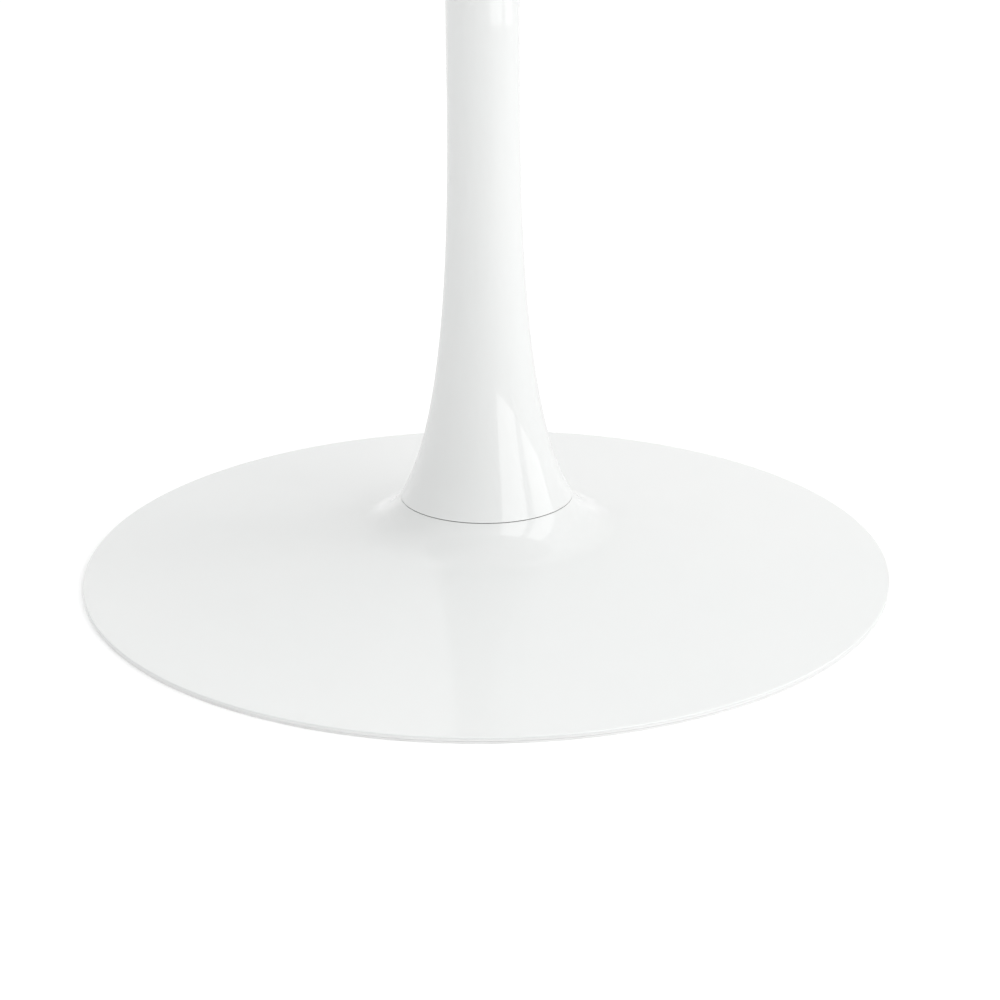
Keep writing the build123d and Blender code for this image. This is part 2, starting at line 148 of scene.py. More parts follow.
class Sheet:
    """The node tree of one material or world."""

    def __init__(self, tree: bpy.types.NodeTree) -> None:
        """Empties a node tree and keeps it."""
        self.tree = tree
        tree.nodes.clear()

    def node(
        self,
        kind: str,
        settings: dict[str, object] | None = None,
        inputs: dict[int | str, object] | None = None,
    ) -> Outs:
        """Adds a node: first its settings, then its sockets.

        Args:
            kind: Node type.
            settings: Attributes of the node, such as its operation.
            inputs: Socket number or name to a value, a number, a colour or a vector.

        Returns:
            The node's outputs.
        """
        made = self.tree.nodes.new(kind)
        for name, value in (settings or {}).items():
            setattr(made, name, value)
        for key, value in (inputs or {}).items():
            if isinstance(value, Val):
                self.tree.links.new(value.socket, made.inputs[key])
            else:
                made.inputs[key].default_value = value
        return Outs(self, made)

    def place(self) -> Val:
        """The point on the object, in its own frame."""
        return self.node("ShaderNodeTexCoord")["Object"]

    def split(self, vector: Val) -> tuple[Val, Val, Val]:
        """A vector's three parts."""
        parts = self.node("ShaderNodeSeparateXYZ", None, {0: vector})
        return parts[0], parts[1], parts[2]

    def join(self, x: object, y: object, z: object) -> Val:
        """A vector from three parts."""
        return self.node("ShaderNodeCombineXYZ", None, {0: x, 1: y, 2: z})[0]

    def stretch(self, vector: Val, by: tuple[float, float, float]) -> Val:
        """A vector times three factors."""
        return self.node("ShaderNodeVectorMath", {"operation": "MULTIPLY"}, {0: vector, 1: by})[0]

    def noise(self, scale: float, detail: float = 2.0, rough: float = 0.5, at: Val | None = None) -> Val:
        """Fractal noise, near 0.5 on the whole.

        Args:
            scale: Features per metre.
            detail: Octaves.
            rough: Weight of the finer ones.
            at: Where it is read; the object's own point if left out.

        Returns:
            The noise.
        """
        inputs = {"Vector": at or self.place(), "Scale": scale, "Detail": detail, "Roughness": rough}
        return self.node("ShaderNodeTexNoise", None, inputs)["Fac"]

    def cells(self, scale: float) -> Val:
        """Distance to the nearest of scattered points, so many to the metre."""
        return self.node("ShaderNodeTexVoronoi", None, {"Vector": self.place(), "Scale": scale})["Distance"]

    def blend(self, factor: Val | float, first: object, second: object) -> Val:
        """Mixes two colours.

        Args:
            factor: 0 for the first, 1 for the second.
            first: Colour or link.
            second: Colour or link.

        Returns:
            The mixed colour.
        """
        mixed = self.node("ShaderNodeMix", {"data_type": "RGBA"}, {0: factor, 6: first, 7: second})
        return mixed[2]

    def bump(self, height: Val, depth: float, under: Val | None = None) -> Val:
        """A normal from a height.

        Args:
            height: Height from 0 to 1.
            depth: How high 1 stands, in metres.
            under: A coarser bump below this one.

        Returns:
            The normal.
        """
        inputs: dict[int | str, object] = {"Height": height, "Distance": depth, "Strength": 1.0}
        if under is not None:
            inputs["Normal"] = under
        return self.node("ShaderNodeBump", None, inputs)["Normal"]


def rgba(red: float, green: float, blue: float) -> Colour:
    """An opaque colour."""
    return (red, green, blue, 1.0)


# ---------------------------------------------------------------- finishes


@dataclass(frozen=True)
class Finish:
    """What every finish shares: a name and the way it is put on a piece."""

    name: str

    def paint(self, sheet: Sheet) -> dict[str, object]:
        """Gives the Principled shader's inputs; each finish has its own."""
        raise NotImplementedError

    def material(self) -> bpy.types.Material:
        """The finish as a material, made once.

        Returns:
            The material.
        """
        known = bpy.data.materials.get(self.name)
        if known is not None:
            return known
        material = bpy.data.materials.new(self.name)
        material.use_nodes = True
        sheet = Sheet(material.node_tree)
        shader = sheet.node("ShaderNodeBsdfPrincipled", None, self.paint(sheet))
        sheet.node("ShaderNodeOutputMaterial", None, {"Surface": shader[0]})
        return material

    def dress(self, piece: bpy.types.Object) -> None:
        """Puts the finish on a piece."""
        piece.data.materials.clear()
        piece.data.materials.append(self.material())


@dataclass(frozen=True)
class GlossEnamel(Finish):
    """Glossy white enamel or lacquer, sprayed and cured: faint flow, dust nibs and hairline wear."""

    warm: Colour = rgba(0.752, 0.760, 0.754)
    cool: Colour = rgba(0.743, 0.753, 0.748)
    gloss: float = 0.012
    flow_depth: float = 0.0000006
    scuff_height: float = 0.0

    def paint(self, sheet: Sheet) -> dict[str, object]:
        """Colour drift, orange peel, nibs and hairlines in the gloss.

        Args:
            sheet: The material's sheet.

        Returns:
            The shader's inputs.
        """
        place = sheet.place()
        drift = sheet.noise(2.6, 3.0, 0.55).ramp(0.35, 0.65)
        speck = sheet.cells(900.0).ramp(0.16, 0.08) * sheet.noise(34.0, 1.0).ramp(0.66, 0.74)
        colour = sheet.blend(drift, self.warm, self.cool)
        colour = sheet.blend(speck * 0.10, colour, rgba(0.62, 0.61, 0.58))
        haze = sheet.noise(11.0, 4.0, 0.6).ramp(0.42, 0.72)
        turned = sheet.stretch(place, (1.0, 0.22, 0.35))
        hair = sheet.noise(1500.0, 1.0, 0.4, turned).ramp(0.70, 0.78) * sheet.noise(9.0, 2.0).ramp(0.5, 0.7)
        rough = haze * 0.010 + hair * 0.028 + speck * 0.12 + self.gloss
        if self.scuff_height > 0.0:
            height = sheet.split(place)[2]
            near_floor = height.ramp(self.scuff_height, self.scuff_height * 0.3)
            rub = sheet.noise(160.0, 5.0, 0.7).ramp(0.52, 0.70) * near_floor
            rough = rough + rub * 0.12
            colour = sheet.blend(rub * 0.10, colour, rgba(0.56, 0.56, 0.54))
        flow = sheet.noise(420.0, 1.5, 0.4)
        normal = sheet.bump(flow, self.flow_depth)
        normal = sheet.bump(speck, 0.000012, normal)
        return {
            "Base Color": colour,
            "Roughness": rough,
            "IOR": 1.54,
            "Normal": normal,
        }


@dataclass(frozen=True)
class PowderCoat(Finish):
    """Satin powder coat with its fine pebble."""

    light: Colour = rgba(0.800, 0.802, 0.798)
    dark: Colour = rgba(0.748, 0.752, 0.748)
    shine: float = 0.34

    def paint(self, sheet: Sheet) -> dict[str, object]:
        """Pebble, drift of tone and rubbed spots.

        Args:
            sheet: The material's sheet.

        Returns:
            The shader's inputs.
        """
        drift = sheet.noise(6.0, 3.0).ramp(0.35, 0.65)
        pebble = sheet.noise(1500.0, 2.0, 0.5)
        rub = sheet.noise(38.0, 5.0, 0.7).ramp(0.56, 0.72)
        colour = sheet.blend(drift, self.light, self.dark)
        colour = sheet.blend(pebble.ramp(0.62, 0.40) * 0.18, colour, self.dark)
        return {
            "Base Color": colour,
            "Roughness": pebble * 0.10 + (self.shine - 0.05) - rub * 0.08,
            "IOR": 1.5,
            "Normal": sheet.bump(pebble, 0.00003),
        }


@dataclass(frozen=True)
class SatinPlastic(Finish):
    """Moulded plastic with a fine spark-eroded grain."""

    tone: Colour = rgba(0.800, 0.802, 0.798)
    worn: Colour = rgba(0.70, 0.70, 0.69)
    floor_darkening_height: float = 0.0

    def paint(self, sheet: Sheet) -> dict[str, object]:
        """Grain, with the colour darker towards the floor if the piece stands on it.

        Args:
            sheet: The material's sheet.

        Returns:
            The shader's inputs.
        """
        grain = sheet.noise(2400.0, 2.0, 0.6)
        patch = sheet.noise(45.0, 4.0, 0.65).ramp(0.45, 0.70)
        colour = sheet.blend(patch * 0.30, self.tone, self.worn)
        if self.floor_darkening_height > 0.0:
            height = sheet.split(sheet.place())[2]
            low = height.ramp(self.floor_darkening_height, 0.0)
            # Colour darkened towards the floor below the given height, evenly and more in patches.
            colour = sheet.blend(low * (patch * 0.2 + 0.05), colour, rgba(0.52, 0.51, 0.49))
        return {
            "Base Color": colour,
            "Roughness": grain * 0.16 + patch * 0.08 + 0.36,
            "IOR": 1.49,
            "Normal": sheet.bump(grain, 0.000022),
        }


@dataclass(frozen=True)
class Rubber(Finish):
    """Dark sealing rubber with bloom and talc left in its pores."""

    tone: Colour = rgba(0.030, 0.031, 0.032)
    bloom: Colour = rgba(0.085, 0.087, 0.088)

    def paint(self, sheet: Sheet) -> dict[str, object]:
        """Pores and bloom.

        Args:
            sheet: The material's sheet.

        Returns:
            The shader's inputs.
        """
        pores = sheet.cells(1900.0)
        bloom = sheet.noise(120.0, 4.0, 0.6).ramp(0.48, 0.72)
        return {
            "Base Color": sheet.blend(bloom * 0.8, self.tone, self.bloom),
            "Roughness": bloom * 0.12 + 0.62,
            "Normal": sheet.bump(pores, 0.00002),
        }


class Lay(Enum):
    """Which way the tool marks on a metal run."""

    ROUND = "round"
    LENGTHWISE = "lengthwise"
    NONE = "none"


@dataclass(frozen=True)
class PlatedSteel(Finish):
    """Zinc plate, brass or bare machined metal with tool marks, spangle and handling stains."""

    bright: Colour = rgba(0.66, 0.665, 0.65)
    dull: Colour = rgba(0.50, 0.51, 0.50)
    stain: Colour = rgba(0.42, 0.40, 0.34)
    lay: Lay = Lay.NONE
    rough: float = 0.30

    def paint(self, sheet: Sheet) -> dict[str, object]:
        """Spangle, tool marks along the lay, and stains.

        Args:
            sheet: The material's sheet.

        Returns:
            The shader's inputs.
        """
        place = sheet.place()
        spangle = sheet.cells(700.0).ramp(0.0, 0.6)
        stained = sheet.noise(70.0, 4.0, 0.6).ramp(0.55, 0.75)
        if self.lay is Lay.ROUND:
            x, y, z = sheet.split(place)
            radius = (x * x + y * y).root()
            marks = sheet.noise(5200.0, 2.0, 0.6, sheet.join(radius, 0.0, z * 0.3))
        elif self.lay is Lay.LENGTHWISE:
            marks = sheet.noise(3000.0, 2.0, 0.6, sheet.stretch(place, (1.0, 1.0, 0.03)))
        else:
            marks = sheet.noise(1800.0, 3.0, 0.6)
        colour = sheet.blend(spangle, self.bright, self.dull)
        colour = sheet.blend(stained * 0.45, colour, self.stain)
        return {
            "Base Color": colour,
            "Metallic": 1.0,
            "Roughness": marks * 0.14 + stained * 0.12 + (self.rough - 0.06),
            "Normal": sheet.bump(marks, 0.000012),
        }


@dataclass(frozen=True)
class CastIron(Finish):
    """Sand-cast iron under thin dark primer, with rust starting in the pits."""

    primer: Colour = rgba(0.060, 0.062, 0.065)
    bare: Colour = rgba(0.16, 0.155, 0.15)
    rust: Colour = rgba(0.17, 0.075, 0.035)

    def paint(self, sheet: Sheet) -> dict[str, object]:
        """Sand grain, worn primer and rust.

        Args:
            sheet: The material's sheet.

        Returns:
            The shader's inputs.
        """
        sand = sheet.noise(650.0, 4.0, 0.65)
        pits = sheet.cells(240.0).ramp(0.30, 0.12) * sheet.noise(40.0).ramp(0.5, 0.65)
        worn = sheet.noise(26.0, 5.0, 0.7).ramp(0.52, 0.68)
        colour = sheet.blend(worn * 0.7, self.primer, self.bare)
        colour = sheet.blend(pits.high(sheet.noise(60.0, 5.0, 0.7).ramp(0.66, 0.78)), colour, self.rust)
        under = sheet.bump(pits, -0.0003)
        return {
            "Base Color": colour,
            "Metallic": worn * 0.35,
            "Roughness": sand * 0.2 + 0.55,
            "Normal": sheet.bump(sand, 0.00025, under),
        }


@dataclass(frozen=True)
class FloorPaper(Finish):
    """Plain pale studio floor."""

    tone: Colour = rgba(0.988, 0.988, 0.988)
    shade: Colour = rgba(0.980, 0.981, 0.982)

    def paint(self, sheet: Sheet) -> dict[str, object]:
        """Almost even white with a trace of cloud.

        Args:
            sheet: The material's sheet.

        Returns:
            The shader's inputs.
        """
        cloud = sheet.noise(0.8, 3.0).ramp(0.3, 0.7)
        return {
            "Base Color": sheet.blend(cloud, self.tone, self.shade),
            "Roughness": cloud * 0.05 + 0.9,
            "IOR": 1.02,
        }


# ---------------------------------------------------------------- turned and cut meshes


def arc(centre: Point, radius: float, start: float, end: float, steps: int) -> list[Point]:
    """Points on an arc.

    Args:
        centre: Middle of the circle: radius, height.
        radius: The circle's radius.
        start: First angle, in radians from outward.
        end: Last angle.
        steps: Number of spans.

    Returns:
        Both ends and what lies between.
    """
    turns = [start + (end - start) * i / steps for i in range(steps + 1)]
    return [(centre[0] + radius * math.cos(t), centre[1] + radius * math.sin(t)) for t in turns]


def flare(first: Point, lead: Point, follow: Point, last: Point, steps: int) -> list[Point]:
    """Points on a cubic curve.

    Args:
        first: Where it starts.
        lead: Its first handle.
        follow: Its second handle.
        last: Where it ends.
        steps: Number of spans.

    Returns:
        Both ends and what lies between.
    """
    curve = []
    for i in range(steps + 1):
        t = i / steps
        a, b, c, d = (1 - t) ** 3, 3 * (1 - t) ** 2 * t, 3 * (1 - t) * t * t, t**3
        curve.append(tuple(a * p + b * q + c * r + d * s for p, q, r, s in zip(first, lead, follow, last)))
    return curve


def soften(corners: Sequence[Corner], closed: bool, steps: int = 5) -> list[Point]:
    """Rounds the corners of an outline and keeps its long runs true with a point beside each round.

    Args:
        corners: Radius, height and rounding of each corner; 0 leaves it as it is.
        closed: Whether the last corner joins the first.
        steps: Spans in each round.

    Returns:
        The outline's points.
    """
    count = len(corners)
    outline: list[Point] = []
    for i, (x, z, rounding) in enumerate(corners):
        here = Vector((x, z))
        if rounding <= 0.0 or (not closed and i in (0, count - 1)):
            outline.append((x, z))
            continue
        before, after = Vector(corners[i - 1][:2]), Vector(corners[(i + 1) % count][:2])
        back, on = before - here, after - here
        angle = back.angle(on)
        run = min(rounding / math.tan(angle / 2), 0.42 * back.length, 0.42 * on.length)
        back_dir, on_dir = back.normalized(), on.normalized()
        outline.append(tuple(here + back_dir * min(run * 1.25, 0.46 * back.length)))
        for k in range(steps + 1):
            t = k / steps
            point = here + back_dir * run * (1 - t) ** 2 + on_dir * run * t * t
            outline.append(tuple(point))
        outline.append(tuple(here + on_dir * min(run * 1.25, 0.46 * on.length)))
    return outline


def plain(points: Sequence[Point], rounding: float = 0.0) -> list[Corner]:
    """Points of a curve as corners that all have the same rounding."""
    return [(x, z, rounding) for x, z in points]


def spread(first: Point, last: Point, spans: int) -> list[Point]:
    """Points between two ends, without them."""
    return [
        (first[0] + (last[0] - first[0]) * i / spans, first[1] + (last[1] - first[1]) * i / spans)
        for i in range(1, spans)
    ]


def new_piece(name: str, points: list, faces: list) -> bpy.types.Object:
    """Makes an object from points and faces, smooth but for its sharp edges.

    Args:
        name: The piece's name.
        points: Its points.
        faces: Its faces.

    Returns:
        The object, in the scene.
    """
    mesh = bpy.data.meshes.new(name)
    mesh.from_pydata(points, [], faces)
    mesh.validate()
    piece = bpy.data.objects.new(name, mesh)
    bpy.context.scene.collection.objects.link(piece)
    tidy_faces(piece)
    return piece


def tidy_faces(piece: bpy.types.Object, sharp: float = 38.0) -> None:
    """Turns a piece's faces outward and sets which edges are sharp.

    Args:
        piece: The piece.
        sharp: Edges that turn by more than this many degrees are sharp.
    """
    work = bmesh.new()
    work.from_mesh(piece.data)
    bmesh.ops.recalc_face_normals(work, faces=work.faces)
    work.to_mesh(piece.data)
    work.free()
    for face in piece.data.polygons:
        face.use_smooth = True
    piece.data.set_sharp_from_angle(angle=math.radians(sharp))


def turned(
    outline: Sequence[Point],
    closed: bool,
    segments: int,
    reach: Reach | None = None,
) -> Shape:
    """Turns an outline about Z.

    Args:
        outline: Radius and height of each point; a radius of 0 is a pole.
        closed: Whether the last point joins the first.
        segments: Steps round the axis.
        reach: Changes a radius by angle, radius and height, as a thread does.

    Returns:
        Points and faces.
    """
    points: list[tuple[float, float, float]] = []
    rings: list[list[int]] = []
    for radius, height in outline:
        if radius < 1e-7:
            points.append((0.0, 0.0, height))
            rings.append([len(points) - 1] * segments)
            continue
        rings.append(list(range(len(points), len(points) + segments)))
        for k in range(segments):
            angle = 2 * math.pi * k / segments
            out = reach(angle, radius, height) if reach else radius
            points.append((out * math.cos(angle), out * math.sin(angle), height))
    faces: list[tuple[int, ...]] = []
    pairs = list(zip(rings, rings[1:])) + ([(rings[-1], rings[0])] if closed else [])
    for low, high in pairs:
        for k in range(segments):
            j = (k + 1) % segments
            corners = [low[k], low[j], high[j], high[k]]
            face = tuple(dict.fromkeys(corners))
            if len(face) > 2:
                faces.append(face)
    return points, faces


def lathe(
    name: str,
    corners: Sequence[Corner],
    segments: int,
    closed: bool = True,
    steps: int = 5,
) -> bpy.types.Object:
    """Turns a piece from an outline with rounded corners.

    Args:
        name: The piece's name.
        corners: Radius, height and rounding of each corner.
        segments: Steps round the axis.
        closed: Whether the last corner joins the first.
        steps: Spans in each round.

    Returns:
        The piece.
    """
    return new_piece(name, *turned(soften(corners, closed, steps), closed, segments))


def slab(
    inner: float,
    out: float,
    low: float,
    high: float,
    rounds: Sequence[float],
    spans: int = 1,
) -> list[Corner]:
    """Section of a flat ring, with its flats split up so that they stay true.

    Args:
        inner: Inner radius.
        out: Outer radius.
        low: Height of its underside.
        high: Height of its upper side.
        rounds: Roundings in millimetres, from the inner lower corner round by the outer ones.
        spans: Number of spans in each flat.

    Returns:
        The section's corners.
    """
    return [
        (inner, low, rounds[0] * MM),
        *plain(spread((inner, low), (out, low), spans)),
        (out, low, rounds[1] * MM),
        (out, high, rounds[2] * MM),
        *plain(spread((out, high), (inner, high), spans)),
        (inner, high, rounds[3] * MM),
    ]


def around(
    points: list,
    faces: list,
    circle: float,
    count: int,
    start: float = 0.0,
    spin: float = 37.0,
) -> Shape:
    """Repeats a shape on a circle about Z.

    Args:
        points: The shape's points, about its own axis.
        faces: Its faces.
        circle: The circle's radius.
        count: How many.
        start: Angle of the first, in degrees.
        spin: How far each is turned about its own axis beyond the one before, in degrees.

    Returns:
        Points and faces of all of them.
    """
    all_points: list = []
    all_faces: list = []
    for n in range(count):
        turn = Matrix.Rotation(math.radians(start) + 2 * math.pi * n / count, 3, "Z")
        first = len(all_points)
        own = Matrix.Rotation(math.radians(spin * n), 3, "Z")
        all_points += [tuple(turn @ (own @ Vector(p) + Vector((circle, 0, 0)))) for p in points]
        all_faces += [tuple(first + v for v in face) for face in faces]
    return all_points, all_faces


def prism(sides: int, across: float, low: float, high: float, twist: float = 0.0) -> Shape:
    """An upright prism with flat faces.

    Args:
        sides: Number of sides.
        across: Distance across its flats.
        low: Height of its foot.
        high: Height of its head.
        twist: Turn, in degrees.

    Returns:
        Points and faces.
    """
    corner = across / 2 / math.cos(math.pi / sides)
    turns = [math.radians(twist) + 2 * math.pi * k / sides for k in range(sides)]
    points = [(corner * math.cos(t), corner * math.sin(t), z) for z in (low, high) for t in turns]
    faces = [(k, (k + 1) % sides, sides + (k + 1) % sides, sides + k) for k in range(sides)]
    return points, faces + [tuple(range(sides)), tuple(range(sides, 2 * sides))]


class Meeting(Enum):
    """What is left where two shapes meet."""

    BOTH = "UNION"
    REST = "DIFFERENCE"
    COMMON = "INTERSECT"


def combine(piece: bpy.types.Object, tool: bpy.types.Object, keep: Meeting) -> None:
    """Joins a tool to a piece or cuts the piece with it, and uses the tool up.

    Args:
        piece: The piece.
        tool: The other shape.
        keep: What is kept.
    """
    step = piece.modifiers.new("combine", "BOOLEAN")
    step.operation, step.solver, step.object = keep.value, "EXACT", tool
    bpy.context.view_layer.update()
    graph = bpy.context.evaluated_depsgraph_get()
    piece.data = bpy.data.meshes.new_from_object(piece.evaluated_get(graph))
    piece.modifiers.clear()
    bpy.data.objects.remove(tool)
    tidy_faces(piece)


def cut(piece: bpy.types.Object, shape: Shape, keep: Meeting = Meeting.REST) -> None:
    """Cuts a shape out of a piece, or keeps only what they share."""
    combine(piece, new_piece("cutter", *shape), keep)


def place(piece: bpy.types.Object, node: str, slot: str, finish: Finish) -> bpy.types.Object:
    """Fits a piece into the frame in a CAD node's stead.

    Args:
        piece: The piece.
        node: The node it stands for.
        slot: The record's material slot; not used.
        finish: What it is finished in.

    Returns:
        The piece.
    """
    finish.dress(piece)
    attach(piece, BODY)
    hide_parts(node)
    LOG.info("%s: %d faces", piece.name, len(piece.data.polygons))
    return piece


def thread(minor: float, depth: float, pitch: float, spans: Sequence[tuple[float, float]]) -> Reach:
    """A screw thread cut into the upright stretches between given heights.

    Args:
        minor: Radius at the thread's root.
        depth: Height of its ridge.
        pitch: Distance between ridges.
        spans: Low and high end of each threaded stretch.

    Returns:
        The change of radius for turned().
    """

    def reach(angle: float, radius: float, height: float) -> float:
        """Radius of the ridge or root at this angle and height."""
        for low, high in spans:
            if low <= height <= high and radius >= minor:
                phase = (height / pitch - angle / (2 * math.pi)) % 1.0
                ridge = max(0.0, 1.0 - abs(phase - 0.5) * 2.6)
                fade = min(1.0, (height - low) / pitch, (high - height) / pitch)
                return radius - depth * (1.0 - ridge) * max(0.0, fade)
        return radius

    return reach


def screw_set(
    name: str,
    outline: Sequence[Point],
    threaded: tuple[float, float],
    circle: float,
    count: int,
    start: float = 0.0,
) -> bpy.types.Object:
    """Like screws on a circle, each with a rolled thread and a hexagon drive.

    Args:
        name: The piece's name.
        outline: Half of a screw's outline, from the middle of its head to the middle of its tip.
        threaded: Low and high end of the thread.
        circle: The circle's radius.
        count: How many.
        start: Angle of the first, in degrees.

    Returns:
        The piece.
    """
    head = outline[0][1]
    cutting = thread(SCREW_RADIUS - 0.01 * MM, SCREW_RIDGE, SCREW_PITCH, [threaded])
    one = new_piece("one", *turned(outline, False, 40, cutting))
    cut(one, prism(6, HEX_DRIVE, head - 1 * MM, head + HEX_DEPTH))
    points = [tuple(v.co) for v in one.data.vertices]
    faces = [tuple(f.vertices) for f in one.data.polygons]
    bpy.data.objects.remove(one)
    return new_piece(name, *around(points, faces, circle, count, start))


# ---------------------------------------------------------------- sub-assemblies

ENAMEL = GlossEnamel("gloss_enamel_white", scuff_height=0.006)
LACQUER = GlossEnamel(
    "gloss_lacquer_white",
    warm=rgba(0.718, 0.722, 0.714),
    cool=rgba(0.705, 0.711, 0.706),
    gloss=0.10,
    flow_depth=0.000002,
)
POWDER = PowderCoat("powder_coat_white")
PLASTIC = SatinPlastic("satin_plastic_pale")
RING_PLASTIC = SatinPlastic("ring_plastic_pale", floor_darkening_height=0.0012)
SEAL = Rubber("sealing_rubber")
IRON = CastIron("cast_iron_primed")
ZINC = PlatedSteel("zinc_plated_steel")
ZINC_TURNED = PlatedSteel("zinc_plated_turned", lay=Lay.ROUND)
ROD_STEEL = PlatedSteel("rolled_rod_steel", lay=Lay.LENGTHWISE, rough=0.26)
BRASS = PlatedSteel(
    "turned_brass",
    bright=rgba(0.78, 0.58, 0.27),
    dull=rgba(0.66, 0.47, 0.20),
    stain=rgba(0.40, 0.27, 0.12),
    lay=Lay.ROUND,
    rough=0.24,
)


@dataclass
class Base:
    """Round base: pressed cover, closing plate, standing ring, hub casting and ballast."""

    sweep_radius: float = 47.8 * MM
    seam_angle: float = math.radians(58.8)
    foot_slope: float = math.radians(7.6)
    sheet: float = 1.3 * MM
    lip_hole: float = 50.0 * MM
    rim_round: float = 1.0 * MM
    ring_width: float = 9.0 * MM
    rim_step: float = 0.25 * MM
    gasket_inset: float = 0.5 * MM
    bulge: float = 0.15 * MM
    cavity: float = 39.8 * MM
    opening: float = 43.8 * MM
    spigot: float = 49.8 * MM
    spigot_wall: float = 5.8 * MM
    shoulder: float = 57.8 * MM
    web_low: float = 23.6 * MM
    web_high: float = 29.6 * MM
    flange_top: float = 9.1 * MM
    rod_hole: float = 7.0 * MM
    rib_count: int = 6
    rib_thickness: float = 5.0 * MM
    rib_round: float = 1.1 * MM
    stagger: float = 30.0
    hub_circle: float = 84.0 * MM
    ballast_circle: float = 130.0 * MM
    screw_count: int = 6
    sunk_head: float = 6.0 * MM
    sunk_height: float = 3.0 * MM
    tip: float = 0.5 * MM
    play: float = 0.2 * MM
    room: float = 0.05 * MM
    lip_edge: float = 0.3 * MM
    ballast_gap: float = 2.8 * MM
    cap_dish: float = 30.0 * MM
    cap_recess: float = 0.4 * MM
    skirt_wall: float = 2.6 * MM
    slot_length: float = 3.2
    segments: int = 432

    def __post_init__(self) -> None:
        """Reads the places of the base's parts from the frame."""
        low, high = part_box("base_cover")
        self.plate_top, self.hub_top = low.z, high.z
        self.radius = high.x
        self.seam_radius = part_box("seam_gasket")[1].x + self.gasket_inset
        self.ring_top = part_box("floor_ring")[1].z
        self.lip_under = self.hub_top - self.sheet
        self.spigot_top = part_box("hub_casting")[1].z
        self.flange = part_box("hub_casting")[1].x
        self.ballast_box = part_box("ballast_ring")
        rise, run = math.sin(self.seam_angle), math.cos(self.seam_angle)
        self.centre = (self.seam_radius + self.sweep_radius * rise, self.hub_top + self.sweep_radius * run)
        self.foot = self._on_sweep(self.sweep_radius, self.foot_slope)
        self.rim = (self.radius - self.rim_round, self.plate_top + self.sheet)
        chord = math.atan2(self.foot[1] - self.rim[1], self.rim[0] - self.foot[0])
        self.rim_slope = 2 * chord - self.foot_slope

    def _on_sweep(self, radius: float, slope: float) -> Point:
        """Point of the hub's sweep, or of a curve along it, where it has a given slope."""
        return (self.centre[0] - radius * math.sin(slope), self.centre[1] - radius * math.cos(slope))

    def _disc(self, drop: float, spans: int) -> list[Point]:
        """The disc's long shallow curve, from the sweep's foot to the rim.

        Args:
            drop: How far below the cover's face.
            spans: Number of spans.

        Returns:
            Its points.
        """
        turn = self.foot_slope - self.rim_slope
        chord = math.dist(self.foot, self.rim)
        radius = chord / (2 * math.sin(turn / 2))
        centre = (
            self.foot[0] + radius * math.sin(self.foot_slope),
            self.foot[1] + radius * math.cos(self.foot_slope),
        )
        start, end = -math.pi / 2 - self.foot_slope, -math.pi / 2 - self.rim_slope
        return arc(centre, radius + drop, start, end, spans)

    def _sweep(self, drop: float, first: float, spans: int) -> list[Point]:
        """The hub's hollow sweep, from a slope down to the disc's own.

        Args:
            drop: How far below the cover's face.
            first: Slope where it starts.
            spans: Number of spans.

        Returns:
            Its points.
        """
        start, end = -math.pi / 2 - first, -math.pi / 2 - self.foot_slope
        return arc(self.centre, self.sweep_radius + drop, start, end, spans)

    def build(self) -> None:
        """Builds every piece of the base."""
        self._cover()
        self._closing_plate()
        self._standing_ring()
        self._hub()
        self._ballast()
        self._screws()
        self._cap()
        self._seal()

    def _cover(self) -> None:
        """Pressed cover: disc, sweep and turned-in lip, one sheet thick."""
        outer = self._sweep(0.0, self.seam_angle, 40) + self._disc(0.0, 72)[1:]
        rim_bottom = self.plate_top + 0.12 * MM
        bend = (self.rim[0], self.rim[1] - self.rim_round)
        roll = arc(bend, self.rim_round, math.pi / 2, 0.0, 8)[1:]
        drop = self.centre[1] - self.lip_under
        under_start = math.acos(drop / (self.sweep_radius + self.sheet))
        inner = self._sweep(self.sheet, under_start, 22) + self._disc(self.sheet, 36)[1:]
        corners: list[Corner] = [(self.lip_hole, self.hub_top, self.lip_edge)]
        corners += plain(spread((self.lip_hole, self.hub_top), (self.seam_radius, self.hub_top), 3))
        corners += [(self.seam_radius, self.hub_top, SEAM_EDGE)]
        corners += plain(outer[1:]) + plain(roll)
        corners += [(self.radius, rim_bottom, 0.1 * MM), (self.radius - 0.2 * MM, self.plate_top, 0.0)]
        corners += plain([(x, max(z, self.plate_top + 0.001 * MM)) for x, z in reversed(inner)])
        corners += [(self.lip_hole, self.lip_under, self.lip_edge)]
        piece = lathe("cover_pressing", corners, self.segments)
        place(piece, "base_cover", "white_enamel", ENAMEL)

    def _closing_plate(self) -> None:
        """Flat steel plate with its opening and countersunk holes."""
        out = self.radius - self.rim_step / 2
        low, high = self.ring_top, self.plate_top
        corners = slab(self.opening + self.play, out, low, high, (0.2, 0.2, 0.2, 0.2), 6)
        piece = lathe("closing_plate", corners, self.segments, steps=4)
        for circle, start in ((self.hub_circle, 0.0), (self.ballast_circle, self.stagger)):
            cut(piece, self._sunk_holes(circle, start))
        place(piece, "bottom_plate", "white_powder_coat", POWDER)

    def _sunk_holes(self, circle: float, start: float) -> Shape:
        """Cutters for countersunk holes.

        Args:
            circle: Radius of the circle they lie on.
            start: Angle of the first, in degrees.

        Returns:
            Points and faces.
        """
        low, head, shank = self.ring_top, self.sunk_head + self.room, SCREW_RADIUS + self.room
        below, above = low - 1 * MM, low + 9 * MM
        outline = [(0.0, below), (head, below), (head, low), (shank, low + self.sunk_height)]
        outline += [(shank, above), (0.0, above)]
        return around(*turned(outline, False, 40), circle, self.screw_count, start)

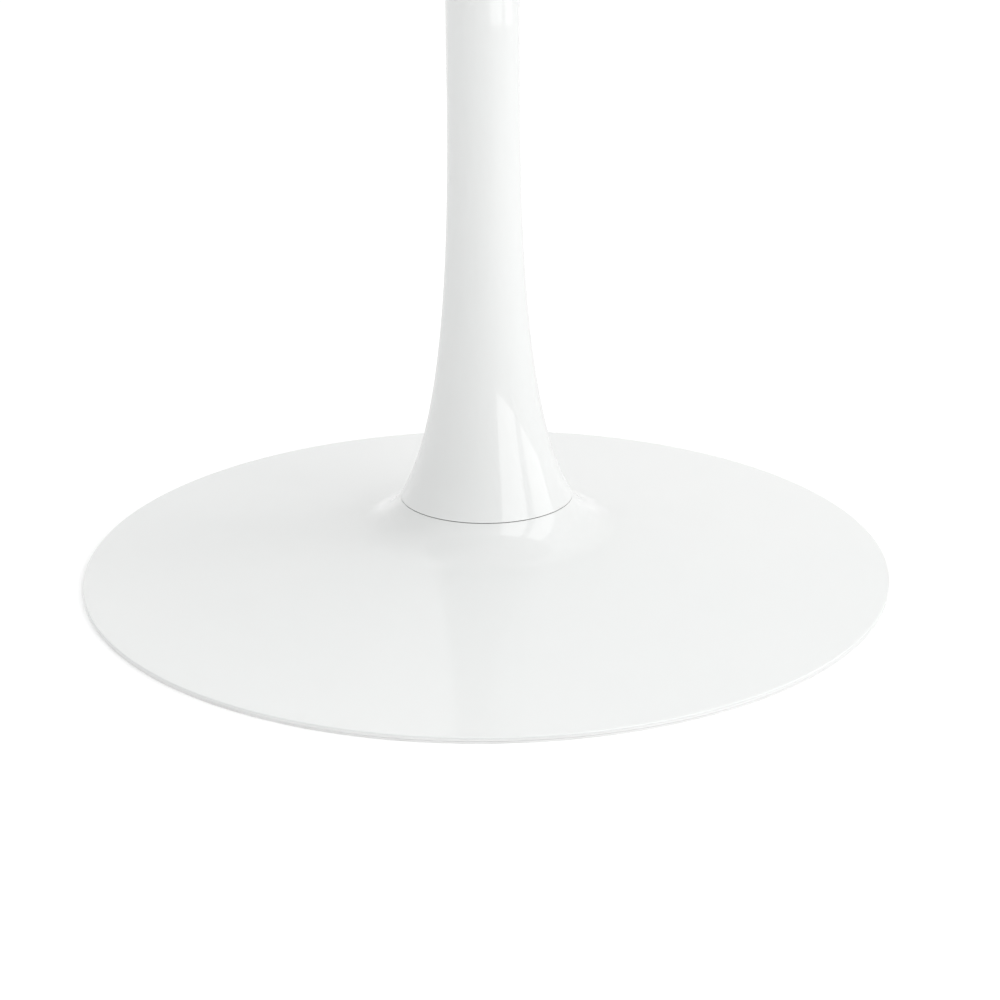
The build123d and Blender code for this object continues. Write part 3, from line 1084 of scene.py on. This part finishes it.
    def _standing_ring(self) -> None:
        """Plastic ring that meets the floor, stepped in under the plate."""
        out, step, top = self.radius, self.rim_step, self.ring_top
        inner = out - self.ring_width
        corners: list[Corner] = [
            (inner, 0.0, 0.3 * MM),
            *plain(spread((inner, 0.0), (out - step, 0.0), 6)),
            (out - step, 0.0, 0.25 * MM),
            (out - step, top - step, 0.2 * MM),
            (out - 3 * step, top - step, 0.1 * MM),
            (out - 3 * step, top, 0.0),
            *plain(spread((out - 3 * step, top), (inner, top), 4)),
            (inner, top, 0.2 * MM),
        ]
        piece = lathe("standing_ring", corners, self.segments)
        place(piece, "floor_ring", "pale_plastic", RING_PLASTIC)

    def _hub(self) -> None:
        """Hub casting with its ribs joined on by fillets."""
        low, flange = self.plate_top, self.flange
        inner = self.spigot - self.spigot_wall
        corners: list[Corner] = [
            (self.cavity, low, 0.4 * MM),
            (flange, low, 0.6 * MM),
            (flange, self.flange_top, 1.5 * MM),
            (self.shoulder + 4 * MM, self.flange_top, 3.0 * MM),
            (self.shoulder, self.flange_top + 5 * MM, 3.0 * MM),
            (self.shoulder, self.lip_under, 0.8 * MM),
            (self.spigot, self.lip_under, 0.5 * MM),
            (self.spigot, self.spigot_top, 1.4 * MM),
            (inner, self.spigot_top, 1.0 * MM),
            (inner, self.web_high, 3.0 * MM),
            (self.rod_hole, self.web_high, 0.6 * MM),
            (self.rod_hole, self.web_low, 0.6 * MM),
            (self.cavity, self.web_low, 3.0 * MM),
        ]
        piece = lathe("hub_casting_body", corners, 144)
        cut(piece, self._sunk_holes(self.hub_circle, 0.0))
        self._add_ribs(piece)
        place(piece, "hub_casting", "cast_iron", IRON)

    def _add_ribs(self, piece: bpy.types.Object) -> None:
        """Joins the hub's ribs to it, with rounded edges.

        Args:
            piece: The hub.
        """
        half = self.rib_thickness / 2
        foot, far = self.flange_top - 4 * MM, self.flange - 3 * MM
        root = self.shoulder - 3 * MM
        side = [(root, foot), (far, foot), (far, self.flange_top + 1 * MM), (root, self.lip_under - 6 * MM)]
        points = [(x, y, z) for y in (-half, half) for x, z in side]
        faces = [(0, 1, 2, 3), (4, 5, 6, 7), (0, 1, 5, 4), (1, 2, 6, 5), (2, 3, 7, 6), (3, 0, 4, 7)]
        ribs = new_piece("ribs", *around(points, faces, 0.0, self.rib_count, self.stagger, 0.0))
        rounding = ribs.modifiers.new("round", "BEVEL")
        rounding.width, rounding.segments = self.rib_round, 3
        combine(piece, ribs, Meeting.BOTH)

    def _ballast(self) -> None:
        """Cast-iron ring whose top follows the cover."""
        low, high = self.ballast_box
        inner = self.flange + 5 * MM
        outer = high.x
        top = [p for p in self._disc(self.ballast_gap, 40) if inner + 2 * MM < p[0] < outer - 1 * MM]
        corners: list[Corner] = [
            (inner, low.z, 0.8 * MM),
            *plain(spread((inner, low.z), (outer, low.z), 6)),
            (outer, low.z, 0.4 * MM),
            (outer, top[-1][1] - 0.05 * MM, 0.4 * MM),
            *plain(list(reversed(top))),
            (inner, top[0][1] + 0.3 * MM, 1.5 * MM),
        ]
        piece = lathe("iron_ballast", corners, 192)
        cut(piece, self._sunk_holes(self.ballast_circle, self.stagger))
        place(piece, "ballast_ring", "cast_iron", IRON)

    def _screws(self) -> None:
        """Countersunk screws under the base, with hexagon drives."""
        jobs = (
            ("hub_fixing_screws", "hub_screws", self.hub_circle, 0.0),
            ("ballast_fixing_screws", "ballast_screws", self.ballast_circle, self.stagger),
        )
        for name, node, circle, start in jobs:
            low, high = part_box(node)
            outline = soften(
                [
                    (0.0, low.z, 0.0),
                    (self.sunk_head - 0.7 * MM, low.z, 0.0),
                    (self.sunk_head, low.z, 0.12 * MM),
                    (self.sunk_head - 0.1 * MM, low.z + 0.3 * MM, 0.1 * MM),
                    (SCREW_RADIUS, low.z + self.sunk_height, 0.3 * MM),
                ],
                False,
            )
            neck, end = low.z + self.sunk_height, high.z - self.tip
            turns = int((high.z - neck) / SCREW_STEP)
            shank = spread((SCREW_RADIUS, neck), (SCREW_RADIUS, high.z), turns)
            outline += [point for point in shank if point[1] < end - 0.05 * MM]
            outline += [(SCREW_RADIUS, end), (SCREW_RADIUS - self.tip, high.z), (0.0, high.z)]
            threaded = (neck + 0.4 * MM, end - 0.1 * MM)
            piece = screw_set(name, outline, threaded, circle, self.screw_count, start)
            place(piece, node, "zinc_steel", ZINC)

    def _cap(self) -> None:
        """Moulded cap under the nut, with a recessed face, a skirt and two pry slots."""
        low, top = self.ring_top, self.plate_top
        out, skirt = self.opening - self.play, self.cavity - self.play
        face, skirt_top = low + self.cap_recess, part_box("service_cap")[1].z
        corners: list[Corner] = [
            (0.0, face, 0.0),
            *plain(spread((0.0, face), (self.cap_dish, face), 4)),
            (self.cap_dish + 1 * MM, face, 0.4 * MM),
            (self.cap_dish + 2 * MM, low, 0.4 * MM),
            (out, low, 0.35 * MM),
            (out, top, 0.2 * MM),
            (skirt, top, 0.2 * MM),
            (skirt, skirt_top, 0.6 * MM),
            (skirt - self.skirt_wall, skirt_top, 0.4 * MM),
            (skirt - self.skirt_wall, top, 0.5 * MM),
            (0.0, top, 0.0),
        ]
        piece = lathe("service_cap_moulding", corners, 144, False)
        slot_points, slot_faces = prism(4, 3.0 * MM, low - 1 * MM, low + 0.8 * MM, 45.0)
        slot_points = [(x, y * self.slot_length, z) for x, y, z in slot_points]
        cut(piece, around(slot_points, slot_faces, out - 2.4 * MM, 2, spin=0.0))
        place(piece, "service_cap", "pale_plastic", PLASTIC)

    def _seal(self) -> None:
        """Thin gasket in the seam, pressed a little out at its middle."""
        low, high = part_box("seam_gasket")
        inner, out = self.lip_hole, high.x
        corners: list[Corner] = [
            (inner, low.z, 0.2 * MM),
            *plain(spread((inner, low.z), (out, low.z), 4)),
            (out - self.bulge, low.z, 0.0),
            (out, (low.z + high.z) / 2, 0.3 * MM),
            (out - self.bulge, high.z, 0.0),
            *plain(spread((out, high.z), (inner, high.z), 4)),
            (inner, high.z, 0.2 * MM),
        ]
        piece = lathe("seam_seal", corners, self.segments)
        place(piece, "seam_gasket", "dark_rubber", SEAL)


@dataclass
class Column:
    """Trumpet casting between base and top, and the gasket at its mouth."""

    seam_angle: float = math.radians(58.8)
    neck: float = 25.5 * MM
    neck_height: float = 345.0 * MM
    foot_handle: float = 53.0 * MM
    neck_handle: float = 152.7 * MM
    straight: float = 85.0 * MM
    mouth_angle: float = math.radians(56.0)
    mouth_handle: float = 50.0 * MM
    wall: float = 3.6 * MM
    gasket_inset: float = 0.5 * MM
    inner_share: float = 0.75
    foot_socket: float = 50.0 * MM
    foot_depth: float = 16.0 * MM
    mouth_socket: float = 51.0 * MM
    mouth_depth: float = 20.0 * MM
    segments: int = 360

    def __post_init__(self) -> None:
        """Reads the column's ends from the frame."""
        low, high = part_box("column_shell")
        self.low, self.high = low.z, high.z
        self.mouth = high.x
        self.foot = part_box("seam_gasket")[1].x + self.gasket_inset

    def _lower(self, foot: Point, handle: float, neck: float, spans: int) -> list[Point]:
        """The flare from the foot up to the neck.

        Args:
            foot: Where it starts.
            handle: How long it keeps the foot's slope.
            neck: Radius of the neck.
            spans: Number of spans.

        Returns:
            Its points, from the foot up.
        """
        run, rise = math.cos(self.seam_angle), math.sin(self.seam_angle)
        return flare(
            foot,
            (foot[0] - handle * run, foot[1] + handle * rise),
            (neck, self.neck_height - self.neck_handle),
            (neck, self.neck_height),
            spans,
        )

    def _upper(self, mouth: Point, handle: float, neck: float, spans: int) -> list[Point]:
        """The flare from the neck up to the mouth.

        Args:
            mouth: Where it ends.
            handle: How long it has the mouth's slope.
            neck: Radius of the neck.
            spans: Number of spans.

        Returns:
            Its points, from the neck up.
        """
        start = self.neck_height + self.straight
        run, rise = math.cos(self.mouth_angle), math.sin(self.mouth_angle)
        return flare(
            (neck, start),
            (neck, start + 0.5 * (self.high - start)),
            (mouth[0] - handle * run, mouth[1] - handle * rise),
            mouth,
            spans,
        )

    def build(self) -> None:
        """Builds the casting and the gasket."""
        self._casting()
        self._seal()

    def _casting(self) -> None:
        """One hollow casting, with a machined socket at each end."""
        outer = self._lower((self.foot, self.low), self.foot_handle, self.neck, 88)
        outer += spread(outer[-1], (self.neck, self.neck_height + self.straight), 12)
        outer += self._upper((self.mouth, self.high), self.mouth_handle, self.neck, 64)
        bore = self.neck - self.wall
        foot_in = (self.foot_socket, self.low + self.foot_depth)
        mouth_in = (self.mouth_socket, self.high - self.mouth_depth)
        inner = self._lower(foot_in, self.inner_share * self.foot_handle, bore, 40)
        inner += self._upper(mouth_in, self.inner_share * self.mouth_handle, bore, 34)
        corners: list[Corner] = [(self.foot_socket, self.low, 0.5 * MM)]
        corners += plain(spread((self.foot_socket, self.low), (self.foot, self.low), 3))
        corners += [(self.foot, self.low, SEAM_EDGE)] + plain(outer[1:-1])
        corners += [(self.mouth, self.high, 0.6 * MM), (self.mouth_socket, self.high, 0.5 * MM)]
        corners += plain(list(reversed(inner)))
        piece = lathe("column_casting", corners, self.segments)
        place(piece, "column_shell", "white_enamel", ENAMEL)

    def _seal(self) -> None:
        """Gasket between the mouth and the plate."""
        low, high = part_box("column_top_gasket")
        inner, out = self.mouth_socket, high.x
        piece = lathe("mouth_seal", slab(inner, out, low.z, high.z, (0.2, 0.3, 0.3, 0.2)), 240)
        place(piece, "column_top_gasket", "dark_rubber", SEAL)


@dataclass
class Clamp:
    """Tie rod with its nuts and washers."""

    rod: float = 6.0 * MM
    pitch: float = 1.75 * MM
    thread_depth: float = 0.85 * MM
    threaded_low: float = 60.0 * MM
    threaded_high: float = 45.0 * MM
    across: float = 19.0 * MM
    washer: float = 18.0 * MM
    spring_washer: float = 10.5 * MM
    play: float = 0.2 * MM

    def build(self) -> None:
        """Builds rod, nuts and washers."""
        self._rod()
        self._nut("bottom_clamp_nut", "rod_bottom_nut")
        self._nut("top_clamp_nut", "rod_top_nut")
        self._washer("bottom_clamp_washer", "rod_bottom_washer")
        self._washer("top_clamp_washer", "rod_top_washer")
        self._spring_washer()

    def _rod(self) -> None:
        """Rod with a rolled thread at both ends."""
        low, high = (corner.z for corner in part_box("tie_rod"))
        step = self.pitch / 8
        ends = [(low + 1 * MM, low + self.threaded_low), (high - self.threaded_high, high - 1 * MM)]
        heights: list[float] = []
        for first, last in ends:
            heights += [first + step * i for i in range(int((last - first) / step) + 1)]
        middle = [low + self.threaded_low + 20 * MM * i for i in range(1, 30)]
        heights += [z for z in middle if z < high - self.threaded_high - 5 * MM]
        outline = [(0.0, low), (self.rod - 1 * MM, low), *[(self.rod, z) for z in sorted(heights)]]
        outline += [(self.rod - 1 * MM, high), (0.0, high)]
        cutting = thread(self.rod - 0.01 * MM, self.thread_depth, self.pitch, ends)
        piece = new_piece("threaded_tie_rod", *turned(outline, False, 48, cutting))
        place(piece, "tie_rod", "zinc_steel", ROD_STEEL)

    def _nut(self, name: str, node: str) -> None:
        """Hexagon nut with chamfered corners and a threaded hole.

        Args:
            name: The piece's name.
            node: Its CAD node.
        """
        low, high = (corner.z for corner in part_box(node))
        corner = self.across / 2 / math.cos(math.pi / 6)
        chamfer = 0.30 * (corner - self.across / 2) + 0.6 * MM
        outline = [
            (0.0, low),
            (self.across / 2 - 0.3 * MM, low),
            (corner + 0.1 * MM, low + chamfer),
            (corner + 0.1 * MM, high - chamfer),
            (self.across / 2 - 0.3 * MM, high),
            (0.0, high),
        ]
        piece = new_piece(name, *turned(outline, False, 96))
        cut(piece, prism(6, self.across, low - 1 * MM, high + 1 * MM), Meeting.COMMON)
        hole = [(0.0, low - 1 * MM), (self.rod + 1.6 * MM, low - 1 * MM), (self.rod, low + 0.6 * MM)]
        hole += [(self.rod, high - 0.6 * MM), (self.rod + 1.6 * MM, high + 1 * MM), (0.0, high + 1 * MM)]
        cut(piece, turned(hole, False, 48))
        place(piece, node, "zinc_steel", ZINC_TURNED)

    def _washer(self, name: str, node: str) -> None:
        """Punched washer with a rolled edge on one side.

        Args:
            name: The piece's name.
            node: Its CAD node.
        """
        low, high = (corner.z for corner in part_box(node))
        piece = lathe(name, slab(self.rod + self.play, self.washer, low, high, (0.3, 0.9, 0.3, 0.6)), 96)
        place(piece, node, "zinc_steel", ZINC_TURNED)

    def _spring_washer(self) -> None:
        """Split spring washer with sprung ends."""
        low, high = (corner.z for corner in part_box("rod_spring_washer"))
        hole, out = self.rod + self.play, self.spring_washer
        steps, gap = 72, math.radians(10.0)
        sections = []
        for i in range(steps + 1):
            angle = gap / 2 + (2 * math.pi - gap) * i / steps
            bite = 0.12 * MM * math.cos(math.pi * i / steps)
            ring = [
                (hole, low + 0.2 * MM),
                (hole + 0.2 * MM, low + 0.12 * MM),
                (out - 0.2 * MM, low + 0.12 * MM),
                (out, low + 0.32 * MM),
                (out, high - 0.32 * MM),
                (out - 0.2 * MM, high - 0.12 * MM),
                (hole + 0.2 * MM, high - 0.12 * MM),
                (hole, high - 0.2 * MM),
            ]
            sections.append([(r * math.cos(angle), r * math.sin(angle), z + bite) for r, z in ring])
        size = len(sections[0])
        points = [p for section in sections for p in section]
        faces = [
            (s * size + k, s * size + (k + 1) % size, (s + 1) * size + (k + 1) % size, (s + 1) * size + k)
            for s in range(steps)
            for k in range(size)
        ]
        faces += [tuple(range(size)), tuple(steps * size + k for k in range(size))]
        piece = new_piece("split_spring_washer", points, faces)
        place(piece, "rod_spring_washer", "zinc_steel", ZINC)


@dataclass
class Top:
    """Tabletop, its mounting plate and their fasteners."""

    bevel: float = 45.0 * MM
    edge: float = 9.0 * MM
    screw_circle: float = 150.0 * MM
    screw_count: int = 8
    head_radius: float = 5.6 * MM
    head_height: float = 3.6 * MM
    crown: float = 1.4 * MM
    washer: float = 7.0 * MM
    play: float = 0.4 * MM
    insert_radius: float = 4.8 * MM
    access: float = 40.0 * MM
    socket_wall: float = 5.8 * MM
    rod_hole: float = 7.0 * MM
    web: float = 6.0 * MM
    segments: int = 480

    def build(self) -> None:
        """Builds every piece at the top."""
        self._tabletop()
        self._plate()
        self._socket()
        self._screws()
        self._washers()
        self._inserts()

    def _round_holes(self, radius: float, low: float, high: float) -> Shape:
        """Cutters for straight holes on the screws' circle.

        Args:
            radius: Radius of each.
            low: Where they start.
            high: Where they end.

        Returns:
            Points and faces.
        """
        hole = [(0.0, low), (radius, low), (radius, high), (0.0, high)]
        return around(*turned(hole, False, 32), self.screw_circle, self.screw_count)

    def _tabletop(self) -> None:
        """Lacquered board with a rounded upper edge and a long bevel below."""
        low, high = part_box("tabletop")
        radius, foot = high.x, high.x - self.bevel
        edge_low = high.z - self.edge
        corners: list[Corner] = [(0.0, low.z, 0.0)]
        corners += plain(spread((0.0, low.z), (foot, low.z), 9))
        corners += [(foot, low.z, 3.0 * MM)]
        corners += plain(spread((foot, low.z), (radius, edge_low), 4))
        corners += [(radius, edge_low, 2.4 * MM), (radius, high.z, 2.0 * MM)]
        corners += plain(spread((radius, high.z), (0.0, high.z), 12))
        corners += [(0.0, high.z, 0.0)]
        piece = lathe("lacquered_top", corners, self.segments, False, 8)
        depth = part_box("top_inserts")[1].z + 0.5 * MM
        cut(piece, self._round_holes(self.insert_radius, low.z - 1 * MM, depth))
        place(piece, "tabletop", "white_lacquer", LACQUER)

    def _plate(self) -> None:
        """Round mounting plate with its access hole and screw holes."""
        low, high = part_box("top_plate")
        corners = slab(self.access, high.x, low.z, high.z, (0.4, 0.9, 0.6, 0.4), 5)
        piece = lathe("mounting_plate", corners, 288)
        cut(piece, self._round_holes(SCREW_RADIUS + self.play, low.z - 1 * MM, high.z + 1 * MM))
        place(piece, "top_plate", "white_powder_coat", POWDER)

    def _socket(self) -> None:
        """Turned socket with its web and a lead-in."""
        low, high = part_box("top_socket")
        out = high.x
        inner = out - self.socket_wall
        corners: list[Corner] = [
            (self.rod_hole, low.z, 0.5 * MM),
            (out - 1.5 * MM, low.z, 0.4 * MM),
            (out, low.z + 1.5 * MM, 0.4 * MM),
            (out, high.z, 0.3 * MM),
            (inner, high.z, 0.4 * MM),
            (inner, low.z + self.web, 1.5 * MM),
            (self.rod_hole, low.z + self.web, 0.5 * MM),
        ]
        piece = lathe("welded_socket", corners, 144)
        place(piece, "top_socket", "white_powder_coat", POWDER)

    def _screws(self) -> None:
        """Pan-head screws with rounded heads, hexagon drives and threads."""
        low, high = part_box("top_plate_screws")
        head, seat = self.head_radius, low.z + self.head_height
        crown = arc((head - self.crown, low.z + self.crown), self.crown, -math.pi / 2, 0.0, 8)
        outline: list[Point] = [(0.0, low.z), (2.9 * MM, low.z), *crown, (head, seat - 0.2 * MM)]
        outline += [(head - 0.2 * MM, seat), (SCREW_RADIUS + 0.3 * MM, seat)]
        outline += [(SCREW_RADIUS, seat + 0.3 * MM)]
        start, end = seat + 2.0 * MM, high.z - 0.8 * MM
        count = int((end - start) / SCREW_STEP)
        outline += [(SCREW_RADIUS, start + SCREW_STEP * i) for i in range(count + 1)]
        outline += [(SCREW_RADIUS - 0.6 * MM, high.z), (0.0, high.z)]
        piece = screw_set("plate_screws", outline, (start, end), self.screw_circle, self.screw_count)
        place(piece, "top_plate_screws", "zinc_steel", ZINC)

    def _washers(self) -> None:
        """Washers under the screws' heads."""
        low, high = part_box("top_plate_washers")
        corners = slab(SCREW_RADIUS + self.play, self.washer, low.z, high.z, (0.15, 0.35, 0.15, 0.15))
        ring = turned(soften(corners, True, 4), True, 48)
        piece = new_piece("plate_washers", *around(*ring, self.screw_circle, self.screw_count))
        place(piece, "top_plate_washers", "zinc_steel", ZINC)

    def _inserts(self) -> None:
        """Brass inserts with barbs that hold them in the board."""
        low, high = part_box("top_inserts")
        hole, out = SCREW_RADIUS + 0.1 * MM, self.insert_radius
        plain_end = 1.5 * MM
        corners: list[Corner] = [(hole, low.z, 0.2 * MM), (out, low.z, 0.2 * MM)]
        corners += [(out, low.z + plain_end, 0.0)]
        barbs = 5
        rise = (high.z - low.z - 2 * plain_end) / barbs
        for n in range(barbs):
            foot = low.z + plain_end + rise * n
            corners += [(out - 0.6 * MM, foot + 0.1 * MM, 0.0), (out, foot + rise, 0.0)]
        corners += [(out - 0.5 * MM, high.z, 0.1 * MM), (hole, high.z, 0.2 * MM)]
        sleeve = turned(soften(corners, True, 3), True, 40)
        piece = new_piece("brass_inserts", *around(*sleeve, self.screw_circle, self.screw_count))
        place(piece, "top_inserts", "brass", BRASS)


@dataclass
class Studio:
    """Camera, floor and light."""

    eye_back: float = 3.566
    eye_up: float = 1.428
    yaw: float = math.radians(0.54)
    pitch: float = math.radians(19.86)
    roll: float = math.radians(-0.29)
    lens: float = 54.0
    floor_reach: float = 40.0
    hub_level: float = 0.10
    sky_level: float = 0.869
    sky_side: float = -0.072
    sky_back: float = 0.210
    sky_dip: float = 0.809
    sky_top: float = 1.483
    ground_level: float = 0.773
    ground_blend: float = 0.35
    window_distance: float = 3.2
    window_foot: float = math.radians(2.8)
    window_head: float = math.radians(64.0)

    def build(self) -> None:
        """Sets up camera, floor and light."""
        bpy.context.scene.view_settings.view_transform = "Standard"
        self._camera()
        self._floor()
        self._sky()
        self._window("window_front", bearing=41.0, width=37.0, glow=1.671)
        self._window("window_side", bearing=85.0, width=29.0, glow=1.332)

    def _camera(self) -> None:
        """Camera that looks down at the base from in front."""
        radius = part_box("base_cover")[1].x
        data = bpy.data.cameras.new("camera")
        data.lens, data.sensor_width = self.lens, 36.0
        data.clip_start, data.clip_end = 0.01, 200.0
        camera = bpy.data.objects.new("camera", data)
        bpy.context.scene.collection.objects.link(camera)
        level = math.cos(self.pitch)
        ahead = Vector((math.sin(self.yaw) * level, math.cos(self.yaw) * level, -math.sin(self.pitch)))
        side = Vector((math.cos(self.yaw), -math.sin(self.yaw), 0.0))
        up = side.cross(ahead)
        across = math.cos(self.roll) * side + math.sin(self.roll) * up
        upright = -math.sin(self.roll) * side + math.cos(self.roll) * up
        turn = Matrix((across, upright, -ahead)).transposed().to_4x4()
        camera.matrix_world = Matrix.Translation((0.0, -self.eye_back * radius, self.eye_up * radius)) @ turn
        bpy.context.scene.camera = camera

    def _floor(self) -> None:
        """Wide pale floor."""
        count = 24
        reach = self.floor_reach
        line = [reach * math.sin(math.pi * (i / count - 0.5)) for i in range(count + 1)]
        points = [(x, y, 0.0) for y in line for x in line]
        wide = count + 1
        faces = [
            (j * wide + i, j * wide + i + 1, (j + 1) * wide + i + 1, (j + 1) * wide + i)
            for j in range(count)
            for i in range(count)
        ]
        floor = new_piece("studio_floor", points, faces)
        FloorPaper("floor_paper").dress(floor)
        floor.visible_glossy = False

    def _sky(self) -> None:
        """White surroundings, brightest overhead, with duller ground that only reflections show."""
        world = bpy.data.worlds.new("studio")
        world.use_nodes = True
        bpy.context.scene.world = world
        sheet = Sheet(world.node_tree)
        across, away, height = sheet.split(sheet.node("ShaderNodeTexCoord")["Generated"])
        above = height.high(0.0)
        band = above * (above * self.sky_top - self.sky_dip)
        sky = across * self.sky_side + away * self.sky_back + band + self.sky_level
        ground = height.ramp(0.0, -self.ground_blend)
        strength = sky * (1.0 - ground) + ground * self.ground_level
        light = sheet.node("ShaderNodeBackground", None, {"Color": rgba(1.0, 1.0, 1.0), "Strength": strength})
        sheet.node("ShaderNodeOutputWorld", None, {"Surface": light[0]})

    def _window(self, name: str, bearing: float, width: float, glow: float) -> None:
        """A tall soft panel of light, as a window would give.

        Args:
            name: The light's name.
            bearing: Where it stands, in degrees from the camera's side towards the right.
            width: How wide it looks from the column, in degrees.
            glow: Its brightness beside the surroundings.
        """
        distance = self.window_distance
        wide = 2 * distance * math.tan(math.radians(width / 2))
        foot, head = distance * math.tan(self.window_foot), distance * math.tan(self.window_head)
        data = bpy.data.lights.new(name, "AREA")
        data.shape = "RECTANGLE"
        data.size, data.size_y = wide, head - foot
        data.energy = glow * math.pi * wide * (head - foot)
        lamp = bpy.data.objects.new(name, data)
        bpy.context.scene.collection.objects.link(lamp)
        turn = math.radians(bearing)
        out = Vector((math.sin(turn), -math.cos(turn), 0.0))
        centre_height = (foot + head) / 2 + self.hub_level
        lamp.location = out * distance + Vector((0.0, 0.0, centre_height))
        lamp.rotation_mode = "QUATERNION"
        lamp.rotation_quaternion = out.to_track_quat("Z", "Y")


def main() -> None:
    """Builds the table and its studio."""
    logging.basicConfig(level=logging.INFO, format="%(message)s")
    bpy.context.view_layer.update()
    for assembly in (Base(), Column(), Clamp(), Top()):
        LOG.info("%s", type(assembly).__name__)
        assembly.build()
    Studio().build()


if __name__ == "__main__":
    main()
